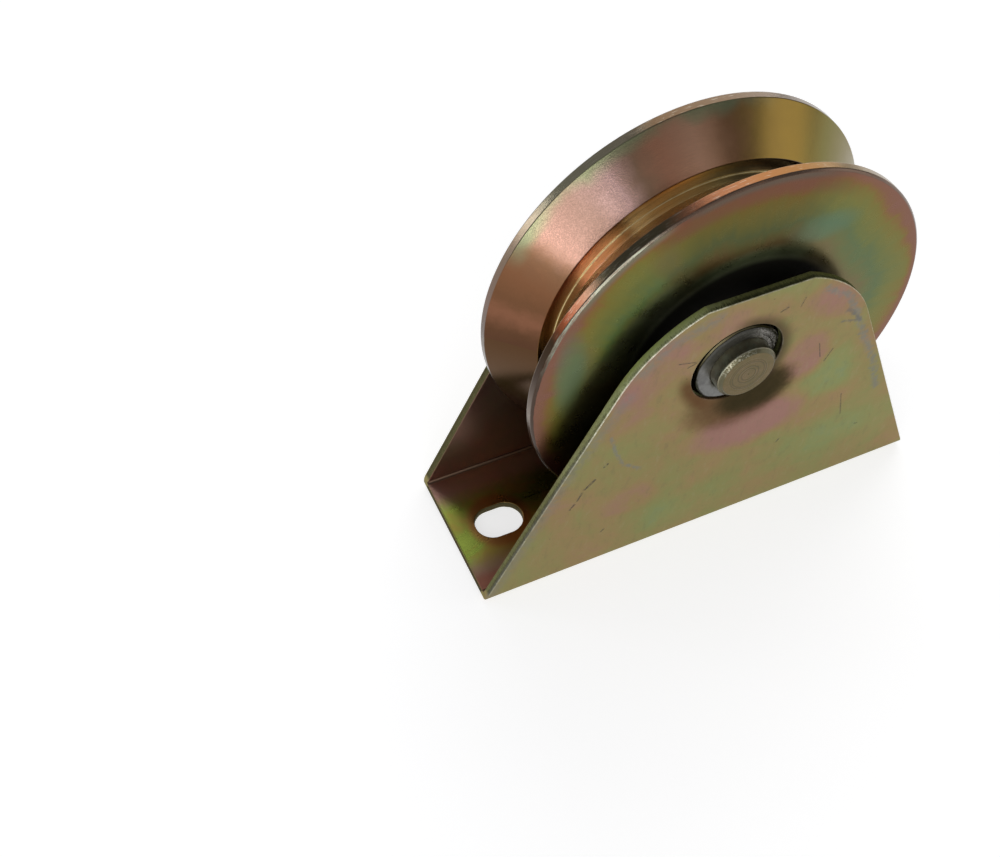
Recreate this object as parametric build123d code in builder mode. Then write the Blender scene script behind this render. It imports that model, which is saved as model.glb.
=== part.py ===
from build123d import *
import os
from math import acos, atan2, cos, hypot, radians, sin

# Gate wheel: a steel V-groove wheel on a sealed ball bearing, in a folded U bracket.
# All sizes in millimetres. The origin is on the underside of the bracket's base, straight
# below the axle. +X runs along the bracket, +Y along the axle, +Z from the base to the wheel.

# ---- bracket ----
bracket_length = 100.8
bracket_width = 32.8          # over the outer faces of the two cheeks
sheet = 1.8
bend_radius = 0.6             # inside the fold
cheek_height = 68.1
foot_radius = 1.0             # rounded lower corners at both ends
crown_radius = 28.4           # rounded shoulders of a cheek
crown_centre_height = 41.7
axle_hole_radius = 9.35       # oversize: the axle lies low and to the right in it
axle_hole_x = -1.8            # hole centre from the axle's centre
axle_hole_z = 2.3
slot_spacing = 80.0           # between the two fixing slots
slot_length = 10.4            # end to end
slot_width = 7.6

# ---- axle ----
axle_height = 49.2
axle_radius = 6.0
axle_length = 36.0
axle_chamfer = 0.7
weld_radius = 8.4
weld_height = 0.35            # weld metal above the cheek's inner face

# ---- wheel ----
wheel_radius = 40.0
wheel_width = 22.2
rim_land = 2.0                # flat edge of each flange
groove_root_radius = 32.5     # foot of the V's sides
groove_floor_half = 2.0       # half-width of the square relief under the V
relief_radius = 29.8
flange_chamfer = 0.5
shoulder_bore_radius = 13.5
seat_lead_in = 0.8

# ---- bearing, 12 x 32 x 10 ----
bearing_radius = 16.0
bearing_half = 5.0
inner_ring_radius = 9.1
outer_ring_land = 13.0
pitch_radius = 11.0
ball_radius = 2.9765
ball_count = 7
race_radius = 3.04
ring_corner = 0.6
shield_seat_depth = 1.0       # width of the step that holds each shield
shield_seat_radius = 13.6
shield_bore_radius = 9.6
shield_thickness = 0.35
pocket_radius = 3.1
cage_sheet = 0.5
cage_inner_radius = 9.7
cage_outer_radius = 12.3
rivet_radius = 0.4
rivet_head_radius = 0.7
rivet_head_height = 0.3
cage_gap = 0.02               # between each cage half and the middle plane

# ---- spacers and retaining ring ----
spacer_bore_radius = 6.05
spacer_radius = 8.5
spacer_chamfer = 0.4
circlip_thickness = 1.2
circlip_groove_width = 1.3
circlip_groove_radius = 16.85
circlip_radius = 16.75
circlip_band = 2.6
circlip_gap_angle = 34.0
lug_radius = 2.1
lug_hole_radius = 0.95

half_length = bracket_length / 2
half_width = bracket_width / 2
cheek_inner = half_width - sheet
wheel_half = wheel_width / 2
ball_step = 360.0 / ball_count

# profile_plane: local x is +Y (along the axle), local y is +Z (radius above the axle).
profile_plane = Plane(origin=(0, 0, axle_height), x_dir=(0, 1, 0), z_dir=(1, 0, 0))
axle_line = Axis((0, 0, axle_height), (0, 1, 0))


def across_axle(y):
    """Plane square to the axle at a given y, its normal pointing to the front (-Y)."""
    return Plane(origin=(0, y, axle_height), x_dir=(1, 0, 0), z_dir=(0, -1, 0))


def round_the_axle(angle, y=0.0, radius=pitch_radius):
    """Point on a circle about the axle, at an angle measured from +X towards +Z."""
    a = radians(angle)
    return (radius * cos(a), y, axle_height + radius * sin(a))


def save(piece, label):
    piece.part.label = label
    export_step(piece.part, f"parts/{label}.step")


os.makedirs("parts", exist_ok=True)

# ---- bracket: one folded channel, its cheeks cut to a rounded gable ----
foot_x = half_length - foot_radius
reach = hypot(foot_x, crown_centre_height - foot_radius)
fall = atan2(foot_radius - crown_centre_height, foot_x)
slope_normal = fall + acos((crown_radius - foot_radius) / reach)
shoulder_x = crown_radius * cos(slope_normal)
shoulder_z = crown_centre_height + crown_radius * sin(slope_normal)
ankle_x = foot_x + foot_radius * cos(slope_normal)
ankle_z = foot_radius + foot_radius * sin(slope_normal)

with BuildPart() as bracket:
    with BuildSketch(Plane.YZ.offset(-half_length)):
        with Locations((0, cheek_height / 2)):
            channel = Rectangle(bracket_width, cheek_height)
        fillet(channel.vertices().group_by(Axis.Y)[0], bend_radius + sheet)
        with BuildSketch(mode=Mode.PRIVATE) as hollow:
            with Locations((0, sheet + cheek_height / 2)):
                inside = Rectangle(2 * cheek_inner, cheek_height)
            fillet(inside.vertices().group_by(Axis.Y)[0], bend_radius)
        add(hollow.sketch, mode=Mode.SUBTRACT)
    extrude(amount=bracket_length)
    with BuildSketch(Plane.XZ):
        with BuildLine():
            Polyline(
                (-foot_x, 0),
                (foot_x, 0),
                (ankle_x, ankle_z),
                (shoulder_x, shoulder_z),
                (-shoulder_x, shoulder_z),
                (-ankle_x, ankle_z),
                close=True,
            )
        make_face()
        with Locations((0, crown_centre_height)):
            Circle(crown_radius)
        with Locations((-foot_x, foot_radius), (foot_x, foot_radius)):
            Circle(foot_radius)
        with Locations((0, cheek_height / 2)):
            Rectangle(bracket_length, cheek_height, mode=Mode.INTERSECT)
    extrude(amount=bracket_width, both=True, mode=Mode.INTERSECT)
    with BuildSketch(across_axle(-half_width)):
        with Locations((axle_hole_x, axle_hole_z)):
            Circle(axle_hole_radius)
    extrude(amount=-bracket_width, mode=Mode.SUBTRACT)
    with BuildSketch(Plane.XY):
        with Locations((-slot_spacing / 2, 0), (slot_spacing / 2, 0)):
            SlotOverall(slot_length, slot_width)
    extrude(amount=sheet, mode=Mode.SUBTRACT)
save(bracket, "bracket")

# ---- axle pin, chamfered at both ends ----
with BuildPart() as axle_pin:
    with BuildSketch(across_axle(-axle_length / 2)):
        Circle(axle_radius)
    extrude(amount=-axle_length)
    chamfer(axle_pin.edges().filter_by(GeomType.CIRCLE), axle_chamfer)
save(axle_pin, "axle_pin")

# ---- welds: a bead round the pin, low in each cheek's hole, cut off by the hole's wall ----
for side, label in ((-1, "axle_weld_front"), (1, "axle_weld_rear")):
    with BuildPart() as weld:
        with BuildSketch(profile_plane):
            with BuildLine():
                crown = Spline(
                    (side * (cheek_inner + 0.8 * weld_height), axle_radius),
                    (side * (cheek_inner + weld_height), (axle_radius + weld_radius) / 2),
                    (side * (cheek_inner + 0.4 * weld_height), weld_radius),
                )
                Polyline(
                    crown @ 1,
                    (side * cheek_inner, weld_radius),
                    (side * cheek_inner, axle_radius),
                    crown @ 0,
                )
            make_face()
        revolve(axis=axle_line)
        with BuildSketch(across_axle(side * cheek_inner)):
            with Locations((axle_hole_x, axle_hole_z)):
                Circle(axle_hole_radius)
        extrude(amount=-side * sheet, mode=Mode.INTERSECT)
    save(weld, label)

# ---- spacers: tubes between each cheek and the bearing's inner ring ----
for side, label in ((-1, "spacer_front"), (1, "spacer_rear")):
    with BuildPart() as spacer:
        with BuildSketch(across_axle(side * bearing_half)):
            Circle(spacer_radius)
            Circle(spacer_bore_radius, mode=Mode.SUBTRACT)
        extrude(amount=-side * (cheek_inner - bearing_half))
        chamfer(spacer.edges().filter_by(GeomType.CIRCLE).group_by(SortBy.RADIUS)[-1], spacer_chamfer)
    save(spacer, label)

# ---- bearing inner ring, with the ball track round its outside ----
with BuildPart() as bearing_inner_ring:
    with BuildSketch(profile_plane):
        with Locations((0, (axle_radius + inner_ring_radius) / 2)):
            inner_section = Rectangle(2 * bearing_half, inner_ring_radius - axle_radius)
        chamfer(inner_section.vertices().group_by(Axis.Y)[0], ring_corner / 2)
        with Locations((0, pitch_radius)):
            Circle(race_radius, mode=Mode.SUBTRACT)
    revolve(axis=axle_line)
save(bearing_inner_ring, "bearing_inner_ring")

# ---- bearing outer ring, with its ball track inside and a step for each shield ----
with BuildPart() as bearing_outer_ring:
    with BuildSketch(profile_plane):
        with Locations((0, (outer_ring_land + bearing_radius) / 2)):
            outer_section = Rectangle(2 * bearing_half, bearing_radius - outer_ring_land)
        chamfer(outer_section.vertices().group_by(Axis.Y)[-1], ring_corner)
        with Locations((0, pitch_radius)):
            Circle(race_radius, mode=Mode.SUBTRACT)
        for side in (-1, 1):
            with Locations((side * (bearing_half - shield_seat_depth / 2), shield_seat_radius / 2)):
                Rectangle(shield_seat_depth, shield_seat_radius, mode=Mode.SUBTRACT)
    revolve(axis=axle_line)
save(bearing_outer_ring, "bearing_outer_ring")

# ---- balls, one by one round the pitch circle ----
for index in range(ball_count):
    with BuildPart() as ball:
        with Locations(round_the_axle(index * ball_step)):
            Sphere(ball_radius)
    save(ball, f"ball_{index + 1}")

# ---- ball cage: two pressed ribbons with a cup over each ball, riveted between the balls ----
for side, label in ((-1, "cage_half_front"), (1, "cage_half_rear")):
    with BuildPart() as cage_half:
        with BuildSketch(across_axle(side * cage_gap)):
            Circle(cage_outer_radius)
            Circle(cage_inner_radius, mode=Mode.SUBTRACT)
        extrude(amount=-side * cage_sheet)
        with Locations([round_the_axle(i * ball_step) for i in range(ball_count)]):
            Sphere(pocket_radius + cage_sheet)
        with BuildSketch(across_axle(side * cage_gap)):
            Circle(cage_outer_radius)
            Circle(cage_inner_radius, mode=Mode.SUBTRACT)
        extrude(amount=-side * bearing_half, mode=Mode.INTERSECT)
        with Locations([round_the_axle(i * ball_step) for i in range(ball_count)]):
            Sphere(pocket_radius, mode=Mode.SUBTRACT)
        with BuildSketch(across_axle(0)):
            with PolarLocations(pitch_radius, ball_count, start_angle=ball_step / 2):
                Circle(rivet_radius)
        extrude(amount=bearing_half, both=True, mode=Mode.SUBTRACT)
    save(cage_half, label)

# ---- cage rivets, headed on both sides ----
grip = cage_sheet + cage_gap
with BuildPart() as cage_rivets:
    with BuildSketch(across_axle(-grip)):
        with PolarLocations(pitch_radius, ball_count, start_angle=ball_step / 2):
            Circle(rivet_radius)
    extrude(amount=-2 * grip)
    for side in (-1, 1):
        with BuildSketch(across_axle(side * grip)):
            with PolarLocations(pitch_radius, ball_count, start_angle=ball_step / 2):
                Circle(rivet_head_radius)
        extrude(amount=-side * rivet_head_height, taper=25)
save(cage_rivets, "cage_rivets")

# ---- shields: thin steel discs seated in the outer ring, clear of the inner ring ----
shield_outside = bearing_half - 0.35
for side, label in ((-1, "bearing_shield_front"), (1, "bearing_shield_rear")):
    with BuildPart() as shield:
        with BuildSketch(profile_plane):
            with BuildLine():
                Polyline(
                    (side * (shield_outside - shield_thickness), shield_bore_radius),
                    (side * shield_outside, shield_bore_radius),
                    (side * shield_outside, shield_seat_radius),
                    (side * (bearing_half - shield_seat_depth), shield_seat_radius),
                    (side * (bearing_half - shield_seat_depth), shield_seat_radius - shield_thickness),
                    (side * (shield_outside - shield_thickness), shield_seat_radius - shield_thickness),
                    close=True,
                )
            make_face()
        revolve(axis=axle_line)
    save(shield, label)

# ---- wheel: turned from bar, V groove with a square relief, bored for the bearing ----
groove_edge = wheel_half - rim_land
seat_end = bearing_half + circlip_groove_width
with BuildPart() as wheel:
    with BuildSketch(profile_plane):
        with BuildLine():
            Polyline(
                (-wheel_half, shoulder_bore_radius),
                (-bearing_half, shoulder_bore_radius),
                (-bearing_half, bearing_radius),
                (bearing_half, bearing_radius),
                (bearing_half, circlip_groove_radius),
                (seat_end, circlip_groove_radius),
                (seat_end, bearing_radius),
                (wheel_half - seat_lead_in, bearing_radius),
                (wheel_half, bearing_radius + seat_lead_in),
                (wheel_half, wheel_radius - flange_chamfer),
                (wheel_half - flange_chamfer, wheel_radius),
                (groove_edge, wheel_radius),
                (groove_floor_half, groove_root_radius),
                (groove_floor_half, relief_radius),
                (-groove_floor_half, relief_radius),
                (-groove_floor_half, groove_root_radius),
                (-groove_edge, wheel_radius),
                (-wheel_half + flange_chamfer, wheel_radius),
                (-wheel_half, wheel_radius - flange_chamfer),
                close=True,
            )
        make_face()
    revolve(axis=axle_line)
save(wheel, "wheel")

# ---- circlip: internal retaining ring behind the bearing, with two pierced lugs ----
lug_track = circlip_radius - circlip_band - 0.4 * lug_radius
lug_angles = (90 - circlip_gap_angle / 2, 90 + circlip_gap_angle / 2)


def along_ray(angle, distance):
    return (distance * cos(radians(angle)), distance * sin(radians(angle)))


with BuildPart() as circlip:
    with BuildSketch(across_axle(bearing_half + circlip_groove_width)):
        Circle(circlip_radius)
        Circle(circlip_radius - circlip_band, mode=Mode.SUBTRACT)
        with BuildLine():
            gap_corners = [along_ray(a, 2 * circlip_radius) for a in lug_angles]
            Polyline((0, 0), *gap_corners, close=True)
        make_face(mode=Mode.SUBTRACT)
        with Locations([along_ray(a, lug_track) for a in lug_angles]):
            Circle(lug_radius)
            Circle(lug_hole_radius, mode=Mode.SUBTRACT)
    extrude(amount=circlip_thickness)
save(circlip, "circlip")
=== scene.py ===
from math import cos, pi, radians, sin, sqrt

import bmesh
import bpy
from mathutils import Matrix, Vector, noise


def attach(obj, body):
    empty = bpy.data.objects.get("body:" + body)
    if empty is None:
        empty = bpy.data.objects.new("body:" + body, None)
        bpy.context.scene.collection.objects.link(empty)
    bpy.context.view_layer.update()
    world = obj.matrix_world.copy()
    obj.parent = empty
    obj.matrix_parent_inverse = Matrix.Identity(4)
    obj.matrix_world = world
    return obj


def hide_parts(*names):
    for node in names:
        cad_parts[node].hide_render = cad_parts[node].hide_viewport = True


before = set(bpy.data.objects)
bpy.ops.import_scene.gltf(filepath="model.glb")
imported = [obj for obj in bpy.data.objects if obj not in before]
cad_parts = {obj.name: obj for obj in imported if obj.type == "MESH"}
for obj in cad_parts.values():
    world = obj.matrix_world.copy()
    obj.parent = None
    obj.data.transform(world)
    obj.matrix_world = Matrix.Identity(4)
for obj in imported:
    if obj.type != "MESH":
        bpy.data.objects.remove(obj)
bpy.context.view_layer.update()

# These sizes are in millimetres and follow the CAD; MM turns millimetres into metres.
MM = 0.001
AXLE_Z = 49.2
HALF_WIDTH = 16.4            # outer face of each cheek
SHEET = 1.8
CHEEK_INNER = HALF_WIDTH - SHEET
CROWN_Z = 41.7               # centre of the cheeks' rounded shoulders
HOLE = (-1.8, 2.3)           # centre of a cheek's oversize hole, measured from the axle in x and z
HOLE_RADIUS = 9.35
WHEEL_HALF = 11.1            # half the wheel's width
WHEEL_RADIUS = 40.0
LAND_Y = 9.1                 # inner edge of each flange's flat rim
ROOT_RADIUS = 32.5           # foot of the V's sides
RELIEF_HALF = 2.0            # half-width of the square relief under the V
RELIEF_RADIUS = 29.8


# ------------------------------------------------------------------ camera and studio

def make_camera():
    """Viewpoint from the left, well above, looking at the front cheek."""
    azimuth, elevation, roll = radians(-26.2410), radians(52.0416), radians(2.1457)
    right = Vector((cos(azimuth), sin(azimuth), 0))
    back = Vector((sin(azimuth) * cos(elevation), -cos(azimuth) * cos(elevation), sin(elevation)))
    up = back.cross(right)
    side = cos(roll) * right + sin(roll) * up
    top = -sin(roll) * right + cos(roll) * up
    camera = bpy.data.cameras.new("camera")
    camera.lens = 45.6013
    camera.sensor_width = 36.0
    camera.clip_start = 0.005
    camera.clip_end = 20.0
    obj = bpy.data.objects.new("camera", camera)
    bpy.context.scene.collection.objects.link(obj)
    place = Vector((-105.697, -132.180, 172.663 + AXLE_Z)) * MM
    obj.matrix_world = Matrix((
        (side.x, top.x, back.x, place.x),
        (side.y, top.y, back.y, place.y),
        (side.z, top.z, back.z, place.z),
        (0, 0, 0, 1)))
    bpy.context.scene.camera = obj


def softbox(name, direction, distance, width, height, radiance):
    """Area light facing the part from a direction; lengths in metres, radiance as its face shows it."""
    light = bpy.data.lights.new(name, "AREA")
    light.shape = "RECTANGLE"
    light.size = width
    light.size_y = height
    light.energy = radiance * pi * width * height
    obj = bpy.data.objects.new(name, light)
    bpy.context.scene.collection.objects.link(obj)
    toward = Vector(direction).normalized()
    obj.location = toward * distance + Vector((0, 0, 0.04))
    obj.rotation_euler = toward.to_track_quat("Z", "Y").to_euler()


def make_studio():
    """Even pale surroundings, six softboxes and a pale floor."""
    world = bpy.data.worlds.new("studio")
    bpy.context.scene.world = world
    world.use_nodes = True
    world.node_tree.nodes["Background"].inputs["Color"].default_value = (0.96, 0.97, 1.0, 1)
    world.node_tree.nodes["Background"].inputs["Strength"].default_value = 0.30
    softbox("key_low", (-0.64, -0.76, 0.13), 1.0, 0.74, 0.17, 3.9)
    softbox("key_high", (-0.52, -0.74, 0.42), 1.0, 0.62, 0.40, 2.15)
    softbox("top_front", (0.16, -0.84, 0.50), 1.2, 0.94, 0.42, 0.64)
    softbox("rim_left", (-0.78, 0.60, 0.20), 1.0, 0.30, 0.34, 2.9)
    softbox("back_right", (0.50, 0.68, 0.52), 1.2, 1.05, 1.25, 1.35)
    softbox("fill_right", (0.90, -0.42, 0.22), 1.1, 0.55, 0.45, 0.95)

    mesh = bpy.data.meshes.new("floor")
    half = 3.0
    level = -0.04 * MM
    corners = [(-half, -half, level), (half, -half, level), (half, half, level), (-half, half, level)]
    mesh.from_pydata(corners, [], [(0, 1, 2, 3)])
    floor = bpy.data.objects.new("floor", mesh)
    bpy.context.scene.collection.objects.link(floor)
    material = bpy.data.materials.new("pale_floor")
    material.use_nodes = True
    shader = material.node_tree.nodes["Principled BSDF"]
    shader.inputs["Base Color"].default_value = (0.60, 0.60, 0.60, 1)
    shader.inputs["Roughness"].default_value = 0.9
    shader.inputs["Specular IOR Level"].default_value = 0.0
    shader.inputs["Emission Color"].default_value = (1, 1, 1, 1)
    shader.inputs["Emission Strength"].default_value = 0.68
    mesh.materials.append(material)


# ------------------------------------------------------------------ shader building

class Paint:
    """A material whose nodes are built by short calls. Positions are in millimetres in the part's frame."""

    def __init__(self, name):
        self.material = bpy.data.materials.new(name)
        self.material.use_nodes = True
        self.tree = self.material.node_tree
        self.tree.nodes.clear()
        self.out = self.node("ShaderNodeOutputMaterial")
        self.shader = self.node("ShaderNodeBsdfPrincipled")
        self.tree.links.new(self.shader.outputs["BSDF"], self.out.inputs["Surface"])
        coordinates = self.node("ShaderNodeTexCoord")
        self.place = self.vector("SCALE", coordinates.outputs["Object"], scale=1000.0)
        split = self.node("ShaderNodeSeparateXYZ", self.place)
        self.x, self.y, self.z = split.outputs
        self.h = self.math("SUBTRACT", self.z, AXLE_Z)
        self.radius = self.math("SQRT", self.math("ADD", self.math("MULTIPLY", self.x, self.x),
                                                  self.math("MULTIPLY", self.h, self.h)))
        self.angle = self.math("ARCTAN2", self.h, self.x)

    def node(self, kind, *inputs, **attributes):
        """New node with its attributes set and its first inputs fed with sockets or constants."""
        made = self.tree.nodes.new(kind)
        for name, value in attributes.items():
            setattr(made, name, value)
        for socket, value in zip(made.inputs, inputs):
            self.feed(socket, value)
        return made

    def feed(self, socket, value):
        if value is None:
            return
        if isinstance(value, bpy.types.NodeSocket):
            self.tree.links.new(value, socket)
        elif hasattr(value, "__len__") and len(value) == 3 and len(socket.default_value) == 4:
            socket.default_value = (*value, 1)
        else:
            socket.default_value = value

    def math(self, operation, a, b=None, clamp=False):
        return self.node("ShaderNodeMath", a, b, operation=operation, use_clamp=clamp).outputs[0]

    def vector(self, operation, a, b=None, scale=None):
        made = self.node("ShaderNodeVectorMath", a, b, operation=operation)
        if scale is not None:
            made.inputs["Scale"].default_value = scale
        return made.outputs["Value" if operation in ("LENGTH", "DOT_PRODUCT", "DISTANCE") else "Vector"]

    def combine(self, x, y, z):
        return self.node("ShaderNodeCombineXYZ", x, y, z).outputs[0]

    def stretched(self, sx, sy, sz):
        return self.vector("MULTIPLY", self.place, (sx, sy, sz))

    def noise(self, scale, detail, rough, place=None, twist=0.0):
        made = self.node("ShaderNodeTexNoise")
        self.feed(made.inputs["Vector"], place or self.place)
        made.inputs["Scale"].default_value = scale
        made.inputs["Detail"].default_value = detail
        made.inputs["Roughness"].default_value = rough
        made.inputs["Distortion"].default_value = twist
        return made.outputs["Fac"]

    def step(self, value, low, high, to_low=0.0, to_high=1.0):
        """Smooth change from to_low to to_high as value goes from low to high."""
        made = self.node("ShaderNodeMapRange", value, low, high, to_low, to_high,
                         interpolation_type="SMOOTHSTEP")
        return made.outputs[0]

    def between(self, value, rise_from, rise_to, fall_from, fall_to):
        """Mask that rises over the first two limits and falls over the last two."""
        return self.times(self.step(value, rise_from, rise_to), self.step(value, fall_to, fall_from))

    def line(self, value, low, high, to_low=0.0, to_high=1.0):
        return self.node("ShaderNodeMapRange", value, low, high, to_low, to_high).outputs[0]

    def ramp(self, value, *stops):
        made = self.node("ShaderNodeValToRGB", value)
        ramp = made.color_ramp
        while len(ramp.elements) < len(stops):
            ramp.elements.new(0.5)
        for element, (at, colour) in zip(ramp.elements, stops):
            element.position = at
            element.color = (*colour, 1)
        return made.outputs["Color"]

    def mix(self, amount, a, b, blend="MIX"):
        made = self.node("ShaderNodeMix", data_type="RGBA", blend_type=blend)
        self.feed(made.inputs[0], amount)
        self.feed(made.inputs[6], a)
        self.feed(made.inputs[7], b)
        return made.outputs[2]

    def blob(self, x, z, width, height):
        """Soft round mask, 1 at (x, z) and 0 at its edge, in the plane of a cheek."""
        dx = self.math("DIVIDE", self.math("SUBTRACT", self.x, x), width)
        dz = self.math("DIVIDE", self.math("SUBTRACT", self.z, z), height)
        far = self.math("ADD", self.math("MULTIPLY", dx, dx), self.math("MULTIPLY", dz, dz))
        return self.step(far, 1.0, 0.0)

    def segment(self, a, b):
        """Distance in mm, across the plane of a cheek, to the line from a to b."""
        start = Vector((a[0], 0, a[1]))
        along = Vector((b[0], 0, b[1])) - start
        flat = self.vector("MULTIPLY", self.place, (1, 0, 1))
        offset = self.vector("SUBTRACT", flat, start)
        share = self.vector("DOT_PRODUCT", offset, along / along.length_squared)
        share = self.math("ADD", share, 0.0, clamp=True)
        reach = self.node("ShaderNodeVectorMath", tuple(along), operation="SCALE")
        self.feed(reach.inputs["Scale"], share)
        return self.vector("DISTANCE", offset, reach.outputs["Vector"])

    def stroke(self, points, width, soft, shake):
        """Mask of a scratch that follows points (x, z), its edge made ragged by the noise shake."""
        near = self.segment(points[0], points[1])
        for a, b in zip(points[1:], points[2:]):
            near = self.math("MINIMUM", near, self.segment(a, b))
        near = self.sum(near, self.swing(shake, 2.2 * width))
        return self.step(near, width / 2 + soft, max(width / 2 - soft, 0.0))

    def sum(self, *values):
        total = values[0]
        for value in values[1:]:
            total = self.math("ADD", total, value)
        return total

    def times(self, *values):
        product = values[0]
        for value in values[1:]:
            product = self.math("MULTIPLY", product, value)
        return product

    def most(self, *values):
        largest = values[0]
        for value in values[1:]:
            largest = self.math("MAXIMUM", largest, value)
        return largest

    def swing(self, texture, size):
        """A texture's change to both sides of its middle, over a range of size."""
        return self.times(self.math("SUBTRACT", texture, 0.5), size)

    def inverse(self, mask):
        return self.math("SUBTRACT", 1.0, mask)

    def bump(self, height, distance, strength, before=None):
        made = self.node("ShaderNodeBump")
        made.inputs["Strength"].default_value = strength
        made.inputs["Distance"].default_value = distance * MM
        self.feed(made.inputs["Height"], height)
        if before is not None:
            self.feed(made.inputs["Normal"], before)
        return made.outputs["Normal"]

    def finish(self, colour, rough, normal):
        self.feed(self.shader.inputs["Base Color"], colour)
        self.feed(self.shader.inputs["Roughness"], rough)
        self.feed(self.shader.inputs["Normal"], normal)
        self.shader.inputs["Metallic"].default_value = 1.0
        return self.material


# Colours of the yellow chromate film, in the order its thickness runs through them.
WHEEL_FILM = (
    (0.00, (0.205, 0.098, 0.082)),
    (0.12, (0.205, 0.100, 0.060)),
    (0.21, (0.200, 0.125, 0.036)),
    (0.31, (0.175, 0.155, 0.034)),
    (0.44, (0.160, 0.165, 0.042)),
    (0.60, (0.132, 0.160, 0.050)),
    (0.74, (0.100, 0.148, 0.066)),
    (0.86, (0.125, 0.145, 0.058)),
    (1.00, (0.150, 0.130, 0.060)))
SHEET_FILM = (
    (0.00, (0.300, 0.160, 0.140)),
    (0.20, (0.290, 0.178, 0.118)),
    (0.40, (0.278, 0.200, 0.096)),
    (0.56, (0.256, 0.216, 0.094)),
    (0.72, (0.236, 0.232, 0.096)),
    (0.86, (0.222, 0.246, 0.104)),
    (1.00, (0.204, 0.246, 0.128)))
SHEET_LIFT = (1.04, 1.045, 1.035)
SHEET_SHEEN = (0.775, 0.74, 0.64)         # tint of what the sheet mirrors at a slant

# Clouds in the sheet's film: x, z, half-width, half-height, change of film.
SHEET_CLOUDS = (
    (5, 30.5, 15, 8.5, -0.52), (19, 28, 12, 6, -0.20), (-39, 25, 9, 9, -0.20),
    (-21, 57, 12, 10, -0.30), (19, 61, 11, 8, -0.42), (29, 44, 5, 14, -0.26),
    (-15, 50, 12, 12, -0.16), (9, 59, 12, 7, -0.14), (23, 38, 10, 9, 0.34),
    (-20, 39, 8, 7, 0.18), (26, 17, 14, 7, 0.20), (-5, 9, 16, 7, 0.16),
    (-19, 19, 9, 6, -0.22), (12, 6, 16, 5, -0.14), (46, 8, 6, 9, -0.34),
    (-6, 63, 20, 6, -0.34), (-24, 48, 7, 12, -0.26), (14, 46, 7, 9, -0.55),
    (-4, 33, 26, 8, -0.14))

# Short dark marks on the seen cheek: both ends as (x, z), then the width.
NICKS = (
    ((-31.8, 25.6), (-31.0, 27.6), 0.5), ((-30.4, 28.6), (-28.6, 30.4), 0.7),
    ((-33.2, 23.4), (-32.4, 24.6), 0.5), ((-26.9, 33.6), (-26.2, 34.3), 0.5),
    ((-46.1, 12.6), (-45.3, 13.6), 0.7), ((5.0, 61.9), (6.4, 62.5), 0.35),
    ((9.2, 61.6), (9.7, 63.6), 0.25), ((-14.6, 56.9), (-11.2, 55.9), 0.22),
    ((-12.6, 55.0), (-10.9, 55.6), 0.18), ((26.6, 29.2), (28.4, 22.0), 0.18),
    ((16.4, 48.6), (17.6, 44.4), 0.2), ((19.0, 42.6), (20.2, 45.6), 0.22),
    ((13.4, 20.4), (13.9, 21.1), 0.4), ((-25.4, 11.2), (-24.9, 11.8), 0.4),
    ((33.5, 16.2), (34.1, 16.0), 0.35))

# Colours round the wheel: film colours with painted reflections, highlights and shade by angle. Places are
# shares of a turn: 0 and 1 towards -X, 0.25 below, 0.75 above.
SIDE_FILM_AND_LIGHT_ROUND = (
    (0.00, (0.092, 0.044, 0.018)), (0.50, (0.20, 0.13, 0.050)), (0.63, (0.17, 0.145, 0.030)),
    (0.667, (0.235, 0.150, 0.030)), (0.710, (0.240, 0.155, 0.042)), (0.735, (0.230, 0.120, 0.060)),
    (0.765, (0.370, 0.210, 0.135)), (0.795, (0.300, 0.145, 0.088)), (0.812, (0.200, 0.120, 0.075)),
    (0.832, (0.290, 0.185, 0.165)), (0.861, (0.225, 0.137, 0.105)), (0.893, (0.270, 0.155, 0.118)),
    (0.914, (0.190, 0.098, 0.052)), (0.935, (0.190, 0.086, 0.042)), (0.956, (0.150, 0.070, 0.034)),
    (0.970, (0.215, 0.094, 0.052)), (0.987, (0.110, 0.050, 0.024)), (1.00, (0.092, 0.040, 0.019)))
RELIEF_WALL_FILM_AND_LIGHT_ROUND = (
    (0.00, (0.24, 0.156, 0.060)), (0.70, (0.14, 0.120, 0.100)), (0.75, (0.29, 0.24, 0.150)),
    (0.81, (0.74, 0.45, 0.22)), (0.838, (1.0, 0.74, 0.46)), (0.850, (0.46, 0.24, 0.11)),
    (0.889, (0.56, 0.235, 0.115)), (0.917, (0.36, 0.135, 0.085)), (1.00, (0.24, 0.156, 0.060)))
RELIEF_BED_FILM_AND_LIGHT_ROUND = (
    (0.00, (0.307, 0.200, 0.080)), (0.68, (0.34, 0.24, 0.10)), (0.72, (0.39, 0.34, 0.20)),
    (0.76, (0.86, 0.70, 0.38)), (0.833, (0.72, 0.60, 0.36)), (0.850, (0.36, 0.31, 0.20)),
    (0.889, (0.66, 0.60, 0.48)), (0.917, (0.385, 0.350, 0.190)), (1.00, (0.307, 0.200, 0.080)))
FRONT_LAND_FILM_AND_LIGHT_ROUND = (
    (0.00, (0.095, 0.056, 0.030)), (0.16, (0.12, 0.075, 0.040)), (0.30, (0.20, 0.120, 0.055)),
    (0.62, (0.20, 0.125, 0.046)), (0.68, (0.22, 0.135, 0.034)), (0.72, (0.26, 0.120, 0.030)),
    (0.803, (0.36, 0.150, 0.082)), (0.822, (0.085, 0.072, 0.042)), (0.872, (0.100, 0.084, 0.052)),
    (0.889, (0.27, 0.145, 0.092)), (0.914, (0.235, 0.064, 0.026)), (0.932, (0.030, 0.015, 0.004)),
    (0.965, (0.032, 0.012, 0.002)), (1.00, (0.095, 0.056, 0.030)))
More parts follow.
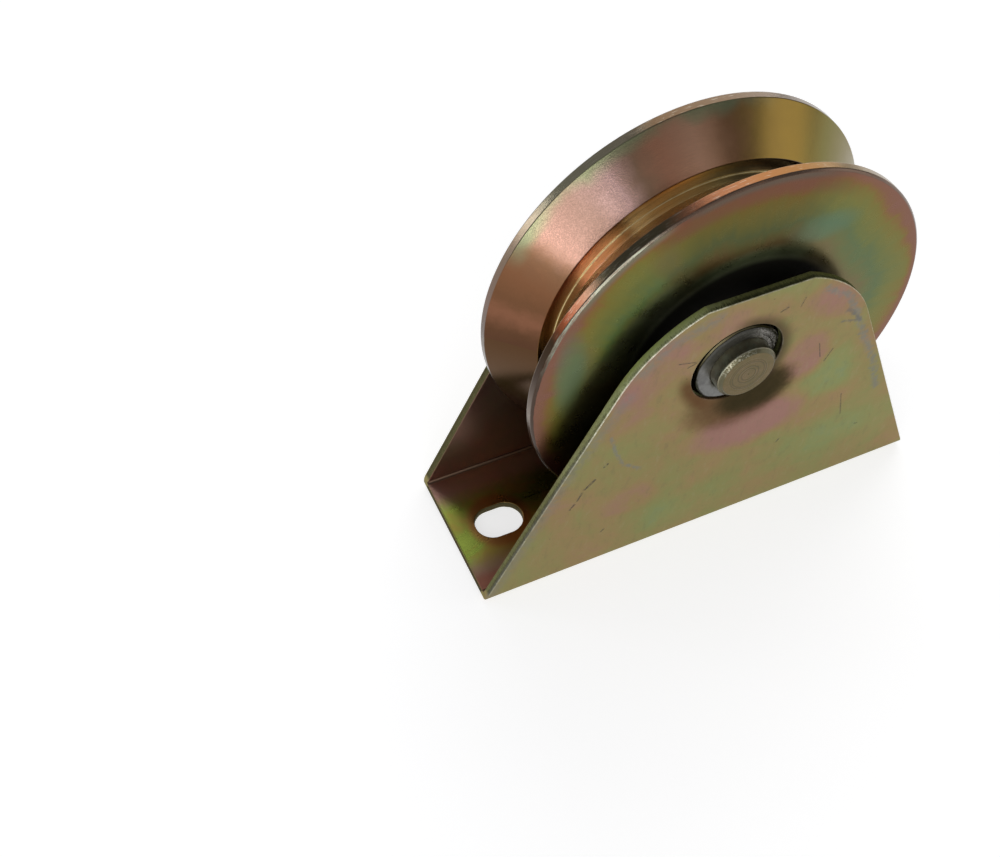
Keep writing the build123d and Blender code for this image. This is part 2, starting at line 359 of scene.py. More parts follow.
REAR_LAND_FILM_AND_LIGHT_ROUND = (
    (0.00, (0.09, 0.060, 0.042)), (0.62, (0.165, 0.120, 0.080)), (0.79, (0.165, 0.105, 0.060)),
    (0.81, (0.32, 0.28, 0.20)), (0.86, (0.35, 0.33, 0.23)), (0.89, (0.28, 0.23, 0.165)),
    (0.92, (0.195, 0.140, 0.100)), (0.97, (0.165, 0.105, 0.080)), (1.00, (0.09, 0.060, 0.042)))


# ------------------------------------------------------------------ the bracket's finish

def sheet_colour(p, patch, mottle):
    """Film of the outer faces, from rosy through olive to green."""
    cloud = p.noise(0.035, 3.0, 0.55, twist=0.8)
    film = p.sum(0.60, p.swing(cloud, 0.60), p.swing(patch, 0.85), p.swing(mottle, 0.22))
    for x, z, width, height, change in SHEET_CLOUDS:
        film = p.sum(film, p.times(p.blob(x, z, width, height), change))
    return p.mix(1.0, p.ramp(film, *SHEET_FILM), SHEET_LIFT, blend="MULTIPLY")


def inside_colour(p, across, patch, base_top, pale):
    """Thicker, browner film inside the channel, yellow-green round the slots, with painted shade in the fold
    and painted light near the top of the seen cheek's inner face.
    """
    brown = p.mix(p.step(patch, 0.35, 0.65), (0.350, 0.200, 0.160), (0.300, 0.200, 0.140))
    green = p.mix(p.step(patch, 0.42, 0.60), (0.225, 0.285, 0.050), (0.300, 0.235, 0.055))
    slot_place = p.combine(p.math("ABSOLUTE", p.x), p.y, 0)
    to_slot = p.vector("DISTANCE", slot_place, (40, 0, 0))
    slot_rim = p.times(p.step(to_slot, 7.6, 5.6), base_top)
    green = p.mix(p.times(slot_rim, 0.8), green, (0.330, 0.140, 0.050))
    rosy = p.times(p.step(p.y, -9.5, -12.0), p.step(p.z, 1.95, 1.85))
    inner = p.mix(base_top, brown, green)
    inner = p.mix(p.times(rosy, 0.8), inner, (0.330, 0.130, 0.090))
    # painted shade: the inside fold of base and cheeks is darkened
    crease_shade = p.times(p.step(across, 13.9, 14.15), p.step(p.z, 2.5, 2.3))
    inner = p.mix(p.times(crease_shade, 0.85), inner, (0.060, 0.038, 0.022))
    # painted light: pale near the top of the seen cheek's inner face
    return p.mix(pale, inner, (0.72, 0.66, 0.44))


def sheared_colour(p, across, base_edge, streak, lit_left_shoulder):
    """Darker olive of the blank's cut edges, streaked through the sheet's thickness, with painted light on
    the seen cheek's left shoulder.
    """
    torn = p.sum(p.times(streak, 0.75), p.times(p.step(across, 15.9, 15.2), 0.18),
                 p.times(lit_left_shoulder, 0.20))
    # painted light: the cut edge of the lit left shoulder is made bright yellow-green
    light = p.mix(lit_left_shoulder, (0.290, 0.300, 0.125), (0.560, 0.610, 0.330))
    olive = p.mix(p.step(torn, 0.30, 0.68), (0.070, 0.074, 0.038), light)
    olive = p.mix(base_edge, olive, p.mix(streak, (0.030, 0.022, 0.012), (0.110, 0.085, 0.040)))
    olive = p.mix(p.times(p.step(p.y, -2, 2), 0.7), olive, (0.075, 0.064, 0.026))
    return p.mix(p.times(p.step(p.x, -27, -38), 0.35), olive, (0.075, 0.062, 0.032))


def rub_mask(p, shake, mottle, front):
    """Grey rubs along the seen cheek's slopes and top."""
    right = p.stroke(((14, 64.0), (19.7, 60.2), (22.4, 55.7), (24.9, 50.7), (28, 44), (31.4, 38.2),
                      (35.4, 27.5)), 1.3, 0.55, shake)
    left = p.stroke(((-26.3, 42), (-24.7, 36.5), (-22.8, 32.3), (-18.8, 28.8)), 0.6, 0.35, shake)
    slope = p.stroke(((-49.2, 2.5), (-40.4, 21), (-33.0, 36.8), (-24, 52)), 2.4, 1.4, mottle)
    top = p.stroke(((-22, 57.5), (-17, 62.6), (-8, 65.8)), 2.2, 1.1, mottle)
    faint = p.times(p.most(p.times(slope, 0.8), top), 0.7)
    rub = p.most(p.times(p.most(right, left), 0.8), faint)
    return p.times(rub, front, p.step(mottle, 0.30, 0.55, 0.15, 0.9))


def bruise_mask(p, shake, front):
    """Two small bruises high on the seen cheek's right slope."""
    long = p.stroke(((20.8, 55.8), (22.6, 54.0), (24.4, 51.8)), 0.8, 0.5, shake)
    short = p.stroke(((20.2, 53.0), (23.6, 52.0)), 0.4, 0.35, shake)
    return p.times(p.most(long, short), front)


def heat_tint_and_pin_shadow(p, colour, shake, mottle, front):
    """Brown heat tint and sooty darkening round the axle on the seen cheek, with the pin's shadow painted
    into the dark patch below it.
    """
    ragged = p.swing(shake, 0.30)
    wide = p.step(p.sum(p.blob(0.6, 40.6, 15.5, 10.8), ragged), 0.0, 1.0)
    burnt_core_and_pin_shadow = p.step(p.sum(p.blob(3.9, 40.9, 11.0, 8.2), ragged), 0.0, 0.95)
    flat = p.combine(p.x, 0, p.z)
    to_hole = p.vector("DISTANCE", flat, (HOLE[0], 0, AXLE_Z + HOLE[1]))
    from_hole = p.math("SUBTRACT", to_hole, HOLE_RADIUS)
    upper_right = p.times(p.step(from_hole, 3.2, 0.0), p.step(p.sum(p.x, p.times(p.z, 0.5)), 24.5, 30.5))
    lower_left = p.times(p.step(from_hole, 3.8, 0.9), p.step(p.x, -4.0, -9.0), p.step(p.z, 54.0, 49.0))
    uneven = p.times(p.line(mottle, 0.2, 0.8, 0.88, 1.0), front)
    # heat tint: a brown halo round the axle; below the pin a near-black core that is sooting with the pin's
    # shadow painted in
    colour = p.mix(p.times(wide, uneven, 0.92), colour, (0.105, 0.046, 0.024))
    colour = p.mix(p.times(burnt_core_and_pin_shadow, uneven), colour, (0.020, 0.014, 0.004))
    colour = p.mix(p.times(upper_right, uneven, 0.80), colour, (0.045, 0.026, 0.020))
    return p.mix(p.times(lower_left, uneven, 0.95), colour, (0.108, 0.046, 0.020))


def bracket_paint():
    """Chromate film on sheet: clouded outer faces, brown inside, olive where it was sheared."""
    p = Paint("zinc_bracket")
    patch = p.noise(0.11, 4.0, 0.6, twist=0.4)
    mottle = p.noise(0.6, 3.0, 0.6)
    shake = p.noise(0.9, 3.0, 0.65)
    streak = p.noise(1.0, 3.0, 0.65, place=p.stretched(5.5, 1.1, 5.5))
    across = p.math("ABSOLUTE", p.y)
    front = p.step(p.y, -15.5, -16.0)

    inside = p.times(p.step(across, 14.72, 14.64), p.step(p.z, 1.70, 1.78))
    base_top = p.times(p.step(p.z, 1.95, 1.85), p.step(p.sum(across, p.times(mottle, 2.0)), 12.0, 6.5))
    from_crown = p.vector("DISTANCE", p.combine(p.x, 0, p.z), (0, 0, CROWN_Z))
    # painted light near the top of the seen cheek's inner face
    pale = p.times(p.step(from_crown, 17, 22), p.step(p.y, -12, -14), p.step(p.z, 34, 40))
    colour = p.mix(inside, sheet_colour(p, patch, mottle), inside_colour(p, across, patch, base_top, pale))

    cheek_edge = p.times(p.step(across, 14.62, 14.78), p.step(across, 16.34, 16.22), p.step(p.z, 2.2, 3.2))
    base_edge = p.times(p.step(p.z, 0.08, 0.22), p.step(p.z, 1.74, 1.62), p.step(across, 14.3, 13.9))
    sheared = p.most(cheek_edge, base_edge)
    # painted light: the cut edge of the seen cheek's left shoulder, which faces the light
    lit_left_shoulder = p.times(p.between(p.x, -38, -27, -14, -2), p.step(p.y, 2, -2))
    colour = p.mix(sheared, colour, sheared_colour(p, across, base_edge, streak, lit_left_shoulder))

    # painted highlight along the corner between an edge and the outer face, broken up, and brightest on the
    # left shoulder
    corner = p.times(p.step(across, 16.16, 16.24), p.step(across, 16.398, 16.37), p.step(p.z, 2.4, 3.0))
    broken = p.times(p.line(shake, 0.35, 0.65, 0.25, 1.0), p.step(streak, 0.35, 0.60, 0.35, 1.0))
    glint = p.mix(lit_left_shoulder, (0.52, 0.50, 0.37), (1.0, 1.0, 0.84))
    colour = p.mix(p.times(corner, broken), colour, glint)

    # rubs, scratches, nicks and thin or dirty spots of the outer faces
    rub = rub_mask(p, shake, mottle, front)
    colour = p.mix(rub, colour, (0.205, 0.205, 0.190))
    colour = p.mix(p.times(bruise_mask(p, shake, front), 0.6), colour, (0.120, 0.125, 0.130))
    nicks = p.most(*(p.stroke((start, end), width, 0.14, shake) for start, end, width in NICKS))
    nicks = p.times(nicks, front)
    colour = p.mix(p.times(nicks, p.step(shake, 0.35, 0.60, 0.15, 0.92)), colour, (0.055, 0.052, 0.055))
    wear = p.noise(1.0, 4.0, 0.7, place=p.stretched(0.55, 0.55, 0.22))
    colour = p.mix(p.times(front, p.step(wear, 0.52, 0.72), 0.30), colour, (0.165, 0.135, 0.085))
    colour = p.mix(p.times(front, p.step(wear, 0.46, 0.30), 0.22), colour, (0.330, 0.300, 0.180))
    pits = p.step(p.noise(0.9, 2.0, 0.5, place=p.vector("ADD", p.place, (31, 7, 3))), 0.765, 0.80)
    colour = p.mix(p.times(pits, 0.5), colour, (0.10, 0.085, 0.055))
    colour = heat_tint_and_pin_shadow(p, colour, shake, mottle, front)

    smoother_inside = p.line(pale, 0, 1, p.line(base_top, 0, 1, -0.03, -0.12), 0.25)
    rough = p.line(patch, 0.3, 0.7, 0.36, 0.45)
    rough = p.sum(rough, p.times(inside, smoother_inside), p.times(sheared, 0.10), p.times(rub, 0.05))
    normal = p.bump(p.noise(0.06, 1.0, 0.5), 0.5, 0.5)
    normal = p.bump(p.noise(2.4, 4.0, 0.65), 0.02, 0.5, normal)
    normal = p.bump(p.times(sheared, streak), 0.25, 0.8, normal)
    normal = p.bump(p.most(nicks, p.times(pits, 0.6)), -0.08, 0.7, normal)
    p.shader.inputs["Specular Tint"].default_value = (*SHEET_SHEEN, 1)
    return p.finish(colour, rough, normal)


# ------------------------------------------------------------------ the wheel's finish

def face_colour(p, degrees, wander, cloud, mottle, shaded_hub):
    """Faces of the flanges: the film's colours run inward from the rim, with painted light beside the cheek
    and painted shade, near black, close to the hub.
    """
    outward = p.vector("NORMALIZE", p.combine(p.x, 0, p.h))
    sector = p.noise(1.0, 2.0, 0.5, place=p.vector("SCALE", outward, scale=1.6))
    shifted = p.vector("ADD", p.vector("SCALE", outward, scale=22.0), (0, 3, 0))
    streaks = p.noise(1.0, 2.0, 0.6, place=shifted)
    inward = p.math("SUBTRACT", WHEEL_RADIUS + 0.4, p.radius)
    depth = p.sum(p.times(inward, 1 / 15.0), p.swing(sector, 0.50), p.swing(cloud, 0.55),
                  p.swing(streaks, 0.22), p.swing(mottle, 0.12))
    hold_rim = p.step(inward, 0.4, 3.2)
    depth = p.sum(p.times(depth, hold_rim), p.times(p.inverse(hold_rim), p.times(inward, 0.05)))
    face = p.ramp(depth, *WHEEL_FILM)
    face = p.mix(p.times(p.blob(-29.5, 49, 5.5, 17), 0.50), face, (0.165, 0.130, 0.090))
    teal = p.most(p.blob(-33.0, 57, 4.0, 13), p.blob(14, 74, 9, 4))
    face = p.mix(p.times(teal, 0.65), face, (0.092, 0.175, 0.118))
    face = p.mix(1.0, face, (0.98, 0.92, 0.80), blend="MULTIPLY")

    # a browner sector at the top and changes of colour along the rim
    turned = p.sum(degrees, wander)
    face = p.mix(p.between(turned, 56, 78, 108, 128), face, (0.76, 0.62, 0.52), blend="MULTIPLY")
    russet = p.times(p.between(inward, 1.5, 2.6, 3.4, 6.0), p.between(degrees, 50, 80, 112, 126))
    face = p.mix(p.times(russet, 0.75), face, (0.150, 0.062, 0.034))
    grey_rim = p.times(p.step(inward, 2.4, 1.0), p.between(degrees, 112, 120, 140, 150))
    face = p.mix(p.times(grey_rim, 0.8), face, (0.165, 0.165, 0.105))
    brown_rim = p.times(p.step(inward, 2.6, 1.2), p.between(degrees, 62, 78, 106, 114))
    face = p.mix(p.times(brown_rim, 0.9), face, (0.105, 0.078, 0.056))

    # painted light: the upper left sector beside the cheek is lit paler and greener towards the hub; at the
    # top the film greens towards the hub
    lit = p.times(p.step(turned, 112, 130), p.step(degrees, 179.5, 166))
    near = p.times(lit, p.step(p.radius, 33.0, 27.0))
    lift = p.line(near, 0, 1, 1.0, p.line(degrees, 130, 155, 1.6, 1.9))
    face = p.mix(1.0, face, p.combine(lift, lift, lift), blend="MULTIPLY")
    face = p.mix(p.times(lit, p.step(p.radius, 28.6, 26.0)), face, (0.230, 0.255, 0.140))
    face = p.mix(p.times(lit, p.step(p.radius, 25.5, 22.8)), face, (0.170, 0.185, 0.110))
    over = p.between(degrees, 50, 64, 112, 125)
    face = p.mix(p.times(over, p.step(p.radius, 25.2, 22.8)), face, (0.150, 0.175, 0.090))
    brown = p.times(p.between(turned, 114, 120, 122, 128), p.between(p.radius, 25, 28, 34, 37))
    face = p.mix(p.times(brown, 0.35), face, (0.150, 0.100, 0.050))
    # painted shade: near black close to the hub
    return p.mix(shaded_hub, face, (0.012, 0.011, 0.008))


def side_colour(p, degrees, turn, cloud):
    """Sides of the V: film colours with painted reflections and shade by angle, rosy, green by the rim,
    olive gold round to the right; the front side is painted one lit gold.
    """
    edge = p.sum(p.radius, p.swing(cloud, 6.0))
    gold = p.times(p.step(degrees, 84, 66), p.step(degrees, 10, 30))
    green = p.times(p.inverse(gold), p.between(degrees, -110, -70, 146, 156), p.step(edge, 37.6, 40.2))
    side = p.mix(green, p.ramp(turn, *SIDE_FILM_AND_LIGHT_ROUND), (0.190, 0.195, 0.110))
    # painted light: the front side of the V is given one bright gold all round, as if lit
    return p.mix(p.step(p.y, 0.5, -0.5), side, (0.480, 0.330, 0.150))


def relief_colour(p, across, turn, mottle):
    """Walls and bed of the relief, with painted reflections and highlights by angle, tool lines and a
    painted highlight along their corner.
    """
    bed = p.ramp(turn, *RELIEF_BED_FILM_AND_LIGHT_ROUND)
    wall = p.ramp(turn, *RELIEF_WALL_FILM_AND_LIGHT_ROUND)
    relief = p.mix(p.step(across, 1.90, 1.98), bed, wall)
    along = p.combine(p.times(p.y, 2.6), p.times(p.radius, 1.2), p.times(p.angle, 1.5))
    lines = p.noise(1.0, 3.0, 0.6, place=along)
    relief = p.mix(p.times(p.step(lines, 0.50, 0.62), 0.35), relief, (0.30, 0.20, 0.09))
    # painted highlight: a bright line along the corner of the bed and walls
    corner = p.times(p.step(p.radius, 30.14, 30.00), p.step(across, 1.82, 1.90))
    return p.mix(p.times(corner, p.line(mottle, 0.3, 0.7, 0.5, 0.95)), relief, (1.0, 0.86, 0.52))


def land_colour(p, degrees, turn):
    """Flat rims of both flanges, scuffed, with painted reflections and shade by angle."""
    front = p.ramp(turn, *FRONT_LAND_FILM_AND_LIGHT_ROUND)
    rear = p.ramp(turn, *REAR_LAND_FILM_AND_LIGHT_ROUND)
    land = p.mix(p.step(p.y, -1, 1), front, rear)
    scuffs = p.noise(1.0, 3.0, 0.7, place=p.combine(p.times(p.angle, 13.0), p.times(p.y, 5.0), 0.0))
    rubbed = p.times(p.step(scuffs, 0.58, 0.68), p.step(degrees, 156, 150, 0.0, 0.6))
    return p.mix(rubbed, land, (0.50, 0.46, 0.38))


def chamfered(p, colour, across, degrees, wander):
    """Adds the chamfer of each rim, with paler streaks running round it, painted glints up to the left and
    painted shade low on the left and below.
    """
    along = p.combine(p.times(p.angle, 14.0), p.times(p.radius, 7.0), p.times(p.y, 2.0))
    streaks = p.noise(1.0, 3.0, 0.7, place=along)
    chamfer = p.step(p.sum(p.radius, across, p.swing(streaks, 0.30)), 50.58, 50.68)
    # painted highlight: pale glints where the chamfer faces the light, up to the left
    painted_glints = p.times(p.between(p.sum(degrees, wander), 112, 124, 160, 170), p.step(streaks, 0.34, 0.66))
    bright = p.mix(painted_glints, (0.150, 0.098, 0.072), (0.285, 0.305, 0.235))
    # painted shade: the chamfer darkens low on the left and below
    below = p.most(p.step(degrees, -70, -110), p.step(degrees, 152, 168))
    bright = p.mix(p.times(below, 0.8), bright, (0.050, 0.036, 0.028))
    return p.mix(chamfer, colour, bright)


def wheel_paint():
    """Chromate film on turned steel, coloured surface by surface."""
    p = Paint("zinc_wheel")
    across = p.math("ABSOLUTE", p.y)
    cloud = p.noise(0.07, 3.0, 0.55, twist=0.6)
    mottle = p.noise(0.35, 3.0, 0.6)
    degrees = p.times(p.angle, 180 / pi)
    wander = p.swing(mottle, 6.0)
    turn = p.line(p.sum(degrees, wander), -180, 180)
    # painted shade: the faces darken to near black close to the hub
    shaded_hub = p.step(p.radius, 23.0, 20.5)

    is_face = p.step(across, WHEEL_HALF - 0.15, WHEEL_HALF - 0.05)
    is_side = p.times(p.step(across, RELIEF_HALF + 0.02, RELIEF_HALF + 0.06),
                      p.step(across, LAND_Y + 0.06, LAND_Y - 0.02))
    is_relief = p.step(across, RELIEF_HALF + 0.06, RELIEF_HALF + 0.02)
    colour = p.mix(is_side, land_colour(p, degrees, turn), side_colour(p, degrees, turn, cloud))
    colour = p.mix(is_relief, colour, relief_colour(p, across, turn, mottle))
    colour = p.mix(is_face, colour, face_colour(p, degrees, wander, cloud, mottle, shaded_hub))
    colour = chamfered(p, colour, across, degrees, wander)

    # fine turning lines everywhere, and a matt, speckled stretch on the V's sides
    round_it = p.combine(p.times(p.radius, 6.0), p.times(p.y, 6.0), p.times(p.angle, 1.2))
    turning = p.noise(1.0, 3.0, 0.7, place=round_it)
    speckle = p.noise(4.2, 2.0, 0.7)
    matt = p.between(degrees, 112, 120, 138, 152)
    grain = p.times(is_side, p.times(p.step(speckle, 0.42, 0.62), p.line(matt, 0, 1, 0.12, 0.55)))
    colour = p.mix(grain, colour, p.mix(1.0, colour, (1.5, 1.5, 1.55), blend="MULTIPLY"))
    normal = p.bump(turning, 0.012, 0.5)
    normal = p.bump(p.times(speckle, p.line(matt, 0, 1, 0.4, 1.0)), 0.03, 0.7, normal)
    rough = p.line(mottle, 0.3, 0.7, 0.19, 0.25)
    rough = p.sum(rough, p.times(is_face, p.line(shaded_hub, 0, 1, 0.07, 0.45)), p.times(is_relief, -0.03))
    return p.finish(colour, rough, normal)


# ------------------------------------------------------------------ other finishes

def pin_paint():
    """Dull pin: khaki end faces with turning rings, olive flank, a lip with painted glints on one side."""
    p = Paint("zinc_pin")
    across = p.math("ABSOLUTE", p.y)
    degrees = p.times(p.angle, 180 / pi)
    cloud = p.noise(0.5, 3.0, 0.6)
    fine = p.noise(2.5, 3.0, 0.6)
    wandering = p.times(p.sum(p.radius, p.swing(cloud, 0.35)), 2.6)
    rings = p.noise(1.0, 2.0, 0.6, place=p.combine(wandering, p.times(p.y, 0.2), 0.0))
    end = p.step(across, 17.9, 17.97)
    khaki = p.mix(p.step(cloud, 0.35, 0.65), (0.122, 0.094, 0.036), (0.150, 0.106, 0.048))
    khaki = p.mix(p.times(p.step(rings, 0.54, 0.64), 0.6), khaki, (0.068, 0.054, 0.024))
    flank = p.mix(p.step(cloud, 0.40, 0.62), (0.400, 0.370, 0.270), (0.440, 0.450, 0.350))
    colour = p.mix(end, flank, khaki)
    lip = p.times(p.step(across, 17.30, 17.45), p.step(across, 17.99, 17.95))
    colour = p.mix(lip, colour, (0.120, 0.110, 0.066))
    # painted highlight: glints on the lip's upper left side
    painted_glints = p.between(degrees, 70, 105, 150, 175)
    colour = p.mix(p.times(lip, painted_glints, p.step(fine, 0.50, 0.62)), colour, (0.34, 0.32, 0.24))
    normal = p.bump(rings, 0.10, 0.7)
    normal = p.bump(fine, 0.03, 0.8, normal)
    return p.finish(colour, p.line(fine, 0.3, 0.7, 0.30, 0.42), normal)


def weld_paint():
    """Weld metal: bare bead below, sooted and painted in shade on the upper left, gritty and rusty on the
    right.
    """
    p = Paint("weld_metal")
    degrees = p.times(p.angle, 180 / pi)
    cloud = p.noise(0.35, 3.0, 0.6)
    grain = p.noise(3.0, 4.0, 0.7)
    clouded = p.step(cloud, 0.35, 0.65)
    gritty = p.times(p.step(degrees, -40, -10), p.step(degrees, 120, 95))
    bare = p.mix(clouded, (0.130, 0.128, 0.122), (0.215, 0.213, 0.205))
    rusty = p.mix(p.step(grain, 0.40, 0.60), (0.060, 0.054, 0.048), (0.260, 0.250, 0.228))
    colour = p.mix(gritty, bare, rusty)
    bead = p.times(p.step(degrees, -178, -160), p.step(degrees, -60, -85))
    colour = p.mix(bead, colour, p.mix(clouded, (0.115, 0.114, 0.110), (0.205, 0.204, 0.196)))
    # sooted metal with painted shade: the upper left of the ring, which the cheek shades, is darkened
    soot_and_shade = p.times(p.step(degrees, 62, 84), p.step(degrees, 178, 155))
    colour = p.mix(p.times(soot_and_shade, 0.9), colour, (0.075, 0.073, 0.062))
    normal = p.bump(p.times(grain, gritty), 0.12, 0.8)
    normal = p.bump(p.noise(0.9, 2.0, 0.5), 0.06, 0.6, normal)
    return p.finish(colour, p.sum(p.line(cloud, 0.3, 0.7, 0.32, 0.42), p.times(soot_and_shade, 0.2)), normal)


def steel_paint(name, light, dark, smooth, rough):
    """Plain worked steel: two tones in soft clouds, with a fine grain."""
    p = Paint(name)
    cloud = p.noise(0.2, 4.0, 0.6)
    fine = p.noise(2.0, 3.0, 0.6)
    colour = p.mix(p.step(cloud, 0.35, 0.65), dark, light)
    return p.finish(colour, p.line(fine, 0.3, 0.7, smooth, rough), p.bump(fine, 0.01, 0.5))


def paint_nodes():
    """Gives every CAD node its material, and returns the materials by node name."""
    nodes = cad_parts
    steel = steel_paint("bearing_steel", (0.52, 0.52, 0.51), (0.36, 0.36, 0.36), 0.18, 0.30)
    paints = {
        "bracket": bracket_paint(),
        "wheel": wheel_paint(),
        "axle_pin": pin_paint(),
        "axle_weld_front": weld_paint(),
        "spacer_front": steel_paint("zinc_spacer", (0.13, 0.11, 0.06), (0.09, 0.08, 0.045), 0.3, 0.42),
        "bearing_inner_ring": steel,
        "bearing_outer_ring": steel,
        "cage_half_front": steel_paint("cage_steel", (0.45, 0.45, 0.43), (0.34, 0.34, 0.33), 0.3, 0.4),
        "bearing_shield_front": steel_paint("shield_steel", (0.40, 0.40, 0.39), (0.28, 0.28, 0.28),
                                            0.3, 0.42),
        "circlip": steel_paint("spring_steel", (0.035, 0.035, 0.04), (0.02, 0.02, 0.022), 0.3, 0.5),
        "ball_1": steel_paint("ball_steel", (0.72, 0.72, 0.71), (0.62, 0.62, 0.62), 0.04, 0.09)}
    same = {"axle_weld_rear": "axle_weld_front", "spacer_rear": "spacer_front",
            "cage_half_rear": "cage_half_front", "cage_rivets": "cage_half_front",
            "bearing_shield_rear": "bearing_shield_front"}
    same.update({f"ball_{i}": "ball_1" for i in range(2, 8)})
    for name, obj in nodes.items():
        obj.data.materials.clear()
        obj.data.materials.append(paints[same.get(name, name)])
    return paints


def soften_edges(obj, width):
    """Welds the CAD mesh's split corners and rounds its sharp edges, as modifiers."""
    weld = obj.modifiers.new("join", "WELD")
    weld.merge_threshold = 0.002 * MM
    bevel = obj.modifiers.new("edge", "BEVEL")
    bevel.width = width * MM
    bevel.segments = 2
    bevel.limit_method = "ANGLE"
    bevel.angle_limit = radians(35)
    bevel.harden_normals = True


# ------------------------------------------------------------------ pieces

def rounded(corners, radius):
    """Closed outline with each corner rounded, and a point beside each curve to hold the flats flat."""
    outline = []
    for index, here in enumerate(corners):
        before, after = Vector(corners[index - 1]), Vector(corners[(index + 1) % len(corners)])
        here = Vector(here)
        room = min((before - here).length, (after - here).length)
        reach = min(radius, 0.3 * room)
        first = here + (before - here).normalized() * reach
        last = here + (after - here).normalized() * reach
        hold = min(0.4 * reach, 0.1 * room)
        outline.append(first + (before - here).normalized() * hold)
        for step in range(5):
            t = step / 4
            outline.append((1 - t) ** 2 * first + 2 * t * (1 - t) * here + t ** 2 * last)
        outline.append(last + (after - here).normalized() * hold)
    return outline


def lathe(name, outline, turns):
    """Mesh turned about the axle from a closed outline of (y, radius) points in mm."""
    mesh = bpy.data.meshes.new(name)
    points, faces = [], []
    count = len(outline)
    for turn in range(turns):
        angle = 2 * pi * turn / turns
        for y, radius in outline:
            points.append((radius * cos(angle) * MM, y * MM, (AXLE_Z + radius * sin(angle)) * MM))
        for k in range(count):
            here, there = turn * count, (turn + 1) % turns * count
            faces.append((here + k, here + (k + 1) % count, there + (k + 1) % count, there + k))
    mesh.from_pydata(points, [], faces)
    return finish_mesh(name, mesh)


def finish_mesh(name, mesh):
    """Object of a mesh with its faces turned outward and shaded smooth."""
    work = bmesh.new()
    work.from_mesh(mesh)
    bmesh.ops.recalc_face_normals(work, faces=work.faces)
    work.to_mesh(mesh)
    work.free()
    mesh.polygons.foreach_set("use_smooth", [True] * len(mesh.polygons))
    obj = bpy.data.objects.new(name, mesh)
    bpy.context.scene.collection.objects.link(obj)
    return obj


def stand_for(obj, node, body, material):
    """Lets a piece stand for a CAD node, ride on its body and take its finish."""
    obj.data.materials.clear()
    obj.data.materials.append(material)
    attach(obj, body)
    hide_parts(node)


RIM_CHAMFER = 0.4
SEAT_RADIUS = 16.0           # the bearing's seat, closed by a shoulder and a snap ring's groove
WHEEL_OUTLINE = (
    (-WHEEL_HALF, 13.5), (-5.0, 13.5), (-5.0, SEAT_RADIUS), (5.0, SEAT_RADIUS), (5.0, 16.85), (6.3, 16.85),
    (6.3, SEAT_RADIUS), (WHEEL_HALF - 0.8, SEAT_RADIUS), (WHEEL_HALF, 16.8),
    (WHEEL_HALF, WHEEL_RADIUS - RIM_CHAMFER), (WHEEL_HALF - RIM_CHAMFER, WHEEL_RADIUS),
    (LAND_Y, WHEEL_RADIUS), (RELIEF_HALF, ROOT_RADIUS), (RELIEF_HALF, RELIEF_RADIUS),
    (-RELIEF_HALF, RELIEF_RADIUS), (-RELIEF_HALF, ROOT_RADIUS), (-LAND_Y, WHEEL_RADIUS),
    (-WHEEL_HALF + RIM_CHAMFER, WHEEL_RADIUS), (-WHEEL_HALF, WHEEL_RADIUS - RIM_CHAMFER))


def make_wheel(material):
    wheel = lathe("turned_wheel", rounded(WHEEL_OUTLINE, 0.14), 300)
    stand_for(wheel, "wheel", "wheel", material)


def make_pin(material):
    half, radius, chamfer = 18.0, 6.0, 0.7
    corners = ((-half, 0.02), (-half, radius - chamfer), (-half + chamfer, radius), (half - chamfer, radius),
               (half, radius - chamfer), (half, 0.02))
    pin = lathe("turned_pin", rounded(corners, 0.16), 96)
    stand_for(pin, "axle_pin", "bracket", material)


def ease(value, low, high):
    """Smooth change from 0 at low to 1 at high."""
    t = min(1.0, max(0.0, (value - low) / (high - low)))
    return t * t * (3 - 2 * t)


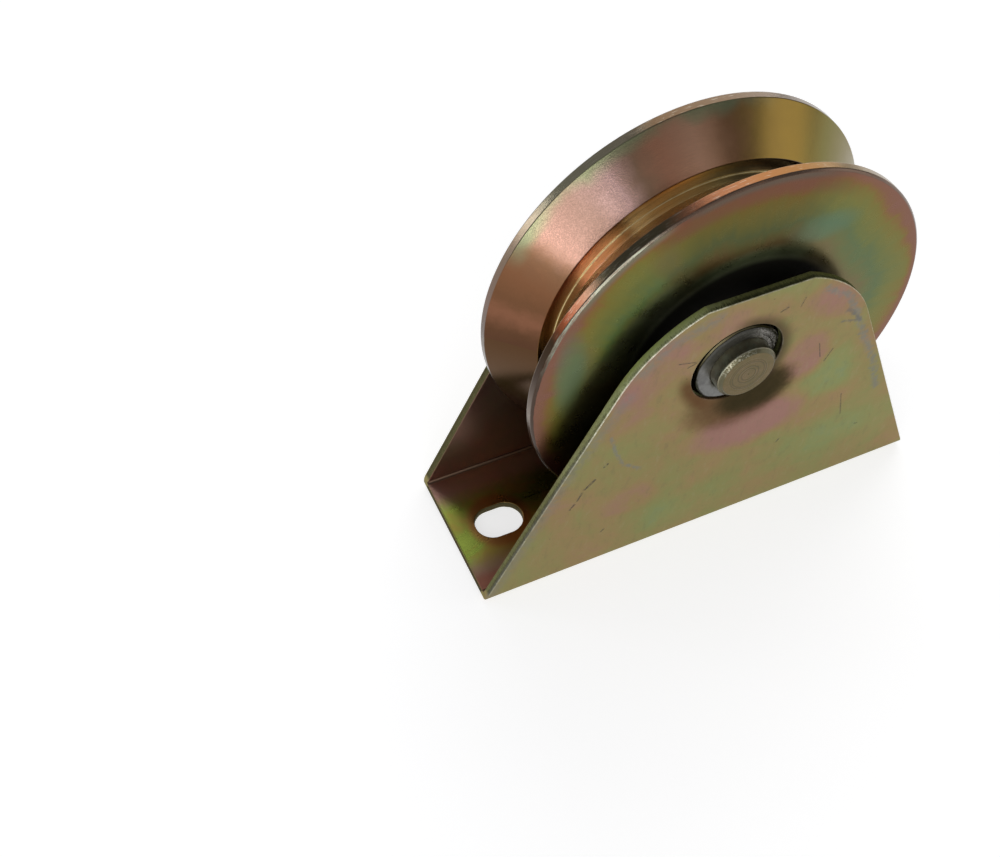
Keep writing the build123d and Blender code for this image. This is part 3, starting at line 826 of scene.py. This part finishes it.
def make_weld(side, name, node, material):
    """Weld metal round the pin: a ring cut off by the cheek's hole, with a bead and a crack."""
    hole = Vector(HOLE)
    hole_radius = HOLE_RADIUS - 0.02
    inner, outer, rise = 5.98, 8.4, 0.34
    bead_spread, bead_height = 0.7, 1.15
    crack_radius, crack_width, crack_depth = 7.05, 0.16, 0.22
    crack_start, crack_length, crack_ends = 30, 125, 15
    rings, spokes = 26, 180
    points, faces = [], []
    for spoke in range(spokes):
        angle = 2 * pi * spoke / spokes
        degrees = angle * 180 / pi
        ray = Vector((cos(angle), sin(angle)))
        toward = ray.dot(hole)
        limit = toward + sqrt(toward * toward - hole.length_squared + hole_radius ** 2)
        spread = bead_spread * ease(degrees, 150, 205) * ease(degrees, 330, 290)
        reach = min(outer + spread + 0.06 * sin(5 * angle) + 0.04 * sin(11 * angle + 1), limit)
        fill = ease(degrees, 196, 222) * ease(degrees, 300, 276)
        span = (degrees + crack_start) % 360
        for ring in range(rings):
            share = ring / (rings - 1)
            radius = inner + (reach - inner) * share
            height = rise * min(1.0, 5 * (1 - share) + 0.25) * min(1.0, 0.75 + 3 * share)
            ripple = noise.noise(Vector((radius * 0.9 * ray.x, radius * 0.9 * ray.y, 4.0 * side)))
            height -= 0.05 + 0.05 * ripple
            height += bead_height * fill * share ** 0.55
            if span < crack_length:
                crack = max(0.0, 1 - abs(radius - crack_radius - 0.05 * sin(6 * angle)) / crack_width)
                faded = min(1.0, span / crack_ends, (crack_length - span) / crack_ends)
                height -= crack_depth * crack * faded
            lift = side * (CHEEK_INNER + max(height, 0.02))
            points.append((radius * ray.x, lift, AXLE_Z + radius * ray.y))
        for radius in (reach, inner):
            points.append((radius * ray.x, side * CHEEK_INNER, AXLE_Z + radius * ray.y))
    count = rings + 2
    for spoke in range(spokes):
        here, there = spoke * count, (spoke + 1) % spokes * count
        for k in range(count):
            faces.append((here + k, here + (k + 1) % count, there + (k + 1) % count, there + k))
    mesh = bpy.data.meshes.new(name)
    mesh.from_pydata([(x * MM, y * MM, z * MM) for x, y, z in points], [], faces)
    stand_for(finish_mesh(name, mesh), node, "bracket", material)


bpy.context.scene.view_settings.view_transform = "Standard"
make_camera()
make_studio()
paints = paint_nodes()
soften_edges(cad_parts["bracket"], 0.20)
make_wheel(paints["wheel"])
make_pin(paints["axle_pin"])
make_weld(-1, "weld_bead_front", "axle_weld_front", paints["axle_weld_front"])
make_weld(1, "weld_bead_rear", "axle_weld_rear", paints["axle_weld_front"])
